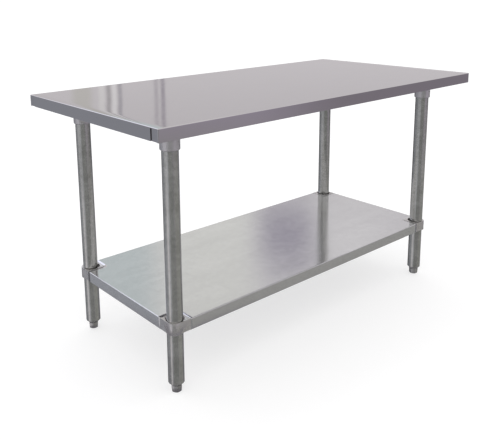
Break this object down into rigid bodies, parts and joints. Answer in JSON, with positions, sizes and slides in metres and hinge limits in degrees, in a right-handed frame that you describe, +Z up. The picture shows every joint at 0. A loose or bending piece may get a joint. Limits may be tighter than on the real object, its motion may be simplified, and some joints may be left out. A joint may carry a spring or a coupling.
{
  "type": "work table",
  "caption": "Long rectangular stainless work table on round galvanised tube legs, with a height-adjustable galvanised undershelf and screw-adjustable bullet feet.",
  "frame": {"origin": "on the floor, under the middle of the table top", "axes": "+X along the table's length to the right, +Y from front to back, +Z up"},
  "size_m": [1.524, 0.762, 0.8636],
  "materials": {
    "stainless": "satin stainless sheet, fine polish grain",
    "galvanised_sheet": "pale galvanised sheet with faint spangle",
    "galvanised_tube": "dull mottled galvanised tube",
    "socket_steel": "zinc-coated steel, slightly lighter than the legs",
    "cast_bracket": "die-cast aluminium, matt grey",
    "foot_metal": "zinc-coated steel, grey",
    "plated_fasteners": "bright zinc plate",
    "deadening": "black butyl damping strip"
  },
  "bodies": {
    "frame": {"top_sheet": "stainless", "cross_channel_left": "galvanised_sheet", "cross_channel_right": "galvanised_sheet", "centre_channel": "galvanised_sheet", "deadening_strips_left": "deadening", "deadening_strips_right": "deadening", "deadening_strips_centre": "deadening", "weld_studs": "plated_fasteners", "stud_nuts": "plated_fasteners", "plate_bolts": "plated_fasteners", "plate_nuts": "plated_fasteners", "socket_set_screws": "plated_fasteners", "socket_plate_front_left": "socket_steel", "leg_socket_front_left": "socket_steel", "leg_front_left": "galvanised_tube", "foot_insert_front_left": "foot_metal", "socket_plate_front_right": "socket_steel", "leg_socket_front_right": "socket_steel", "leg_front_right": "galvanised_tube", "foot_insert_front_right": "foot_metal", "socket_plate_rear_right": "socket_steel", "leg_socket_rear_right": "socket_steel", "leg_rear_right": "galvanised_tube", "foot_insert_rear_right": "foot_metal", "socket_plate_rear_left": "socket_steel", "leg_socket_rear_left": "socket_steel", "leg_rear_left": "galvanised_tube", "foot_insert_rear_left": "foot_metal"},
    "shelf": {"undershelf": "galvanised_sheet", "shelf_channel": "galvanised_sheet", "bracket_set_screws": "plated_fasteners", "shelf_bracket_front_left": "cast_bracket", "shelf_bracket_front_right": "cast_bracket", "shelf_bracket_rear_right": "cast_bracket", "shelf_bracket_rear_left": "cast_bracket"},
    "levelling_foot_front_left": {"foot_front_left": "foot_metal"},
    "levelling_foot_front_right": {"foot_front_right": "foot_metal"},
    "levelling_foot_rear_right": {"foot_rear_right": "foot_metal"},
    "levelling_foot_rear_left": {"foot_rear_left": "foot_metal"}
  },
  "joints": [
    {"name": "shelf_slide", "type": "slide", "parent": "frame", "child": "shelf", "axis": [0, 0, 1], "range_m": [-0.15, 0.5]},
    {"name": "foot_screw_front_left", "type": "slide", "parent": "frame", "child": "levelling_foot_front_left", "axis": [0, 0, -1], "range_m": [0, 0.025]},
    {"name": "foot_screw_front_right", "type": "slide", "parent": "frame", "child": "levelling_foot_front_right", "axis": [0, 0, -1], "range_m": [0, 0.025]},
    {"name": "foot_screw_rear_right", "type": "slide", "parent": "frame", "child": "levelling_foot_rear_right", "axis": [0, 0, -1], "range_m": [0, 0.025]},
    {"name": "foot_screw_rear_left", "type": "slide", "parent": "frame", "child": "levelling_foot_rear_left", "axis": [0, 0, -1], "range_m": [0, 0.025]}
  ]
}
